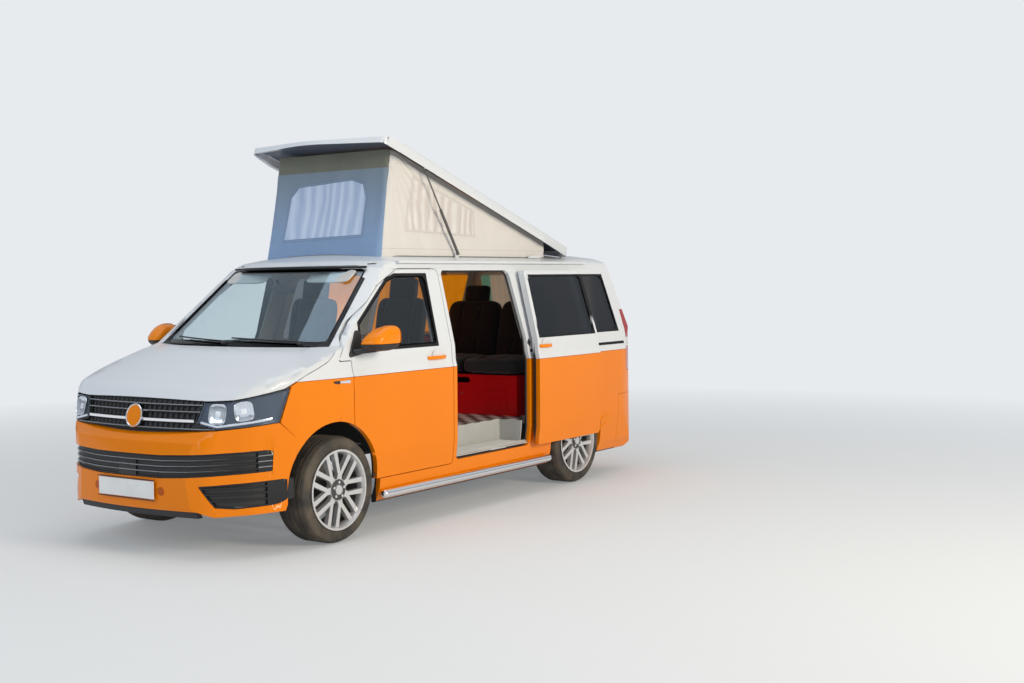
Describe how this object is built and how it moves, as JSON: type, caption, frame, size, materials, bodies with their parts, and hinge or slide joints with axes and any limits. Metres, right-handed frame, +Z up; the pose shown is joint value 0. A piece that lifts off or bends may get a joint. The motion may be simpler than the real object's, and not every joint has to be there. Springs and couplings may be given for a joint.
{
  "type": "camper van",
  "caption": "Two-tone camper van with a raised pop-top roof, open sliding side door, opening front doors, bonnet and tailgate, steered wheels and a furnished cabin.",
  "frame": {"origin": "on the ground under the middle of the van's bounding box", "axes": "+X forward, +Y to the van's left, +Z up"},
  "size_m": [4.952, 2.296, 2.7499],
  "materials": {
    "paint_white": "gloss",
    "paint_two_tone": "gloss, upper part white",
    "black_plastic": "matt",
    "gloss_black": "gloss",
    "lamp": "clear lens over bright reflectors",
    "tail_lamp": "gloss",
    "glass": "clear",
    "privacy_glass": "dark tint",
    "seat_fabric": "woven",
    "furniture": "satin",
    "floor": "chequered vinyl",
    "steel": "painted",
    "alloy": "satin lacquer",
    "tyre": "matt",
    "chrome": "polished",
    "canvas": "woven",
    "plate": "blank white plate"
  },
  "bodies": {
    "body": {"bench_seat": "seat_fabric", "cab_seats": "seat_fabric", "dashboard": "black_plastic", "engine_block": "steel", "floor": "floor", "front_bumper": "paint_two_tone", "front_frame": "black_plastic", "front_lip": "black_plastic", "front_plate": "plate", "front_subframe": "steel", "front_wings": "paint_two_tone", "furniture": "furniture", "grille": "gloss_black", "headlamps": "lamp", "lower_grille": "gloss_black", "rear_axle": "steel", "rear_bumper": "paint_two_tone", "roof": "paint_white", "roof_canvas": "canvas", "side_left": "paint_two_tone", "side_right": "paint_two_tone", "side_windows": "privacy_glass", "sill_bars": "chrome", "sliding_door": "paint_two_tone", "tail_lamps": "tail_lamp", "underbody": "steel", "windscreen": "glass"},
    "door_left": {"door_left": "paint_two_tone", "door_glass_left": "glass", "mirror_left": "paint_two_tone"},
    "door_right": {"door_right": "paint_two_tone", "door_glass_right": "glass", "mirror_right": "paint_two_tone"},
    "bonnet": {"bonnet": "paint_white"},
    "tailgate": {"tailgate": "paint_two_tone", "tailgate_glass": "privacy_glass", "rear_plate": "plate"},
    "pop_roof": {"pop_roof": "paint_white"},
    "strut_cylinders": {"strut_cylinders": "steel"},
    "strut_rods": {"strut_rods": "chrome"},
    "knuckle_left": {"knuckle_left": "steel"},
    "knuckle_right": {"knuckle_right": "steel"},
    "wheel_front_left": {"rim_front_left": "alloy", "tyre_front_left": "tyre"},
    "wheel_front_right": {"rim_front_right": "alloy", "tyre_front_right": "tyre"},
    "wheel_rear_left": {"rim_rear_left": "alloy", "tyre_rear_left": "tyre"},
    "wheel_rear_right": {"rim_rear_right": "alloy", "tyre_rear_right": "tyre"},
    "steering_wheel": {"steering_wheel": "black_plastic"}
  },
  "joints": [
    {"name": "door_left_hinge", "type": "hinge", "parent": "body", "child": "door_left", "pos_m": [1.365, 0.954, 0.9], "axis": [0, 0, -1], "range_deg": [0, 62]},
    {"name": "door_right_hinge", "type": "hinge", "parent": "body", "child": "door_right", "pos_m": [1.365, -0.954, 0.9], "axis": [0, 0, 1], "range_deg": [0, 62]},
    {"name": "bonnet_hinge", "type": "hinge", "parent": "body", "child": "bonnet", "pos_m": [1.35, 0, 1.25], "axis": [0, -1, 0], "range_deg": [0, 50]},
    {"name": "tailgate_hinge", "type": "hinge", "parent": "body", "child": "tailgate", "pos_m": [-2.325, 0, 1.871], "axis": [0, 1, 0], "range_deg": [0, 80]},
    {"name": "pop_roof_hinge", "type": "hinge", "parent": "body", "child": "pop_roof", "pos_m": [-1.84, 0, 1.925], "axis": [0, 1, 0], "range_deg": [0, 17.9], "deforming": ["roof_canvas"]},
    {"name": "strut_swing", "type": "hinge", "parent": "body", "child": "strut_cylinders", "pos_m": [-0.25, 0, 1.915], "axis": [0, 1, 0], "range_deg": [0, 58.6]},
    {"name": "strut_slide", "type": "slide", "parent": "strut_cylinders", "child": "strut_rods", "axis": [0.544, 0, 0.8391], "range_m": [-0.2523, 0]},
    {"name": "steer_left", "type": "hinge", "parent": "body", "child": "knuckle_left", "pos_m": [1.515, 0.722, 0.352], "axis": [0, 0, 1], "range_deg": [-33, 33]},
    {"name": "steer_right", "type": "hinge", "parent": "body", "child": "knuckle_right", "pos_m": [1.515, -0.722, 0.352], "axis": [0, 0, 1], "range_deg": [-33, 33]},
    {"name": "steering_wheel_turn", "type": "hinge", "parent": "body", "child": "steering_wheel", "pos_m": [1.06, -0.445, 1.06], "axis": [-0.848, 0, 0.53], "range_deg": [-530, 530]},
    {"name": "wheel_front_left_spin", "type": "hinge", "parent": "knuckle_left", "child": "wheel_front_left", "pos_m": [1.515, 0.814, 0.352], "axis": [0, 1, 0], "continuous": true},
    {"name": "wheel_front_right_spin", "type": "hinge", "parent": "knuckle_right", "child": "wheel_front_right", "pos_m": [1.515, -0.814, 0.352], "axis": [0, 1, 0], "continuous": true},
    {"name": "wheel_rear_left_spin", "type": "hinge", "parent": "body", "child": "wheel_rear_left", "pos_m": [-1.485, 0.814, 0.352], "axis": [0, 1, 0], "continuous": true},
    {"name": "wheel_rear_right_spin", "type": "hinge", "parent": "body", "child": "wheel_rear_right", "pos_m": [-1.485, -0.814, 0.352], "axis": [0, 1, 0], "continuous": true}
  ],
  "couplings": [
    {"joint": "strut_swing", "follows": "pop_roof_hinge", "ratio": 3.2433},
    {"joint": "strut_slide", "follows": "pop_roof_hinge", "m_per_rad": -0.8013},
    {"joint": "steer_right", "follows": "steer_left", "ratio": 1},
    {"joint": "steering_wheel_turn", "follows": "steer_left", "ratio": 16}
  ]
}
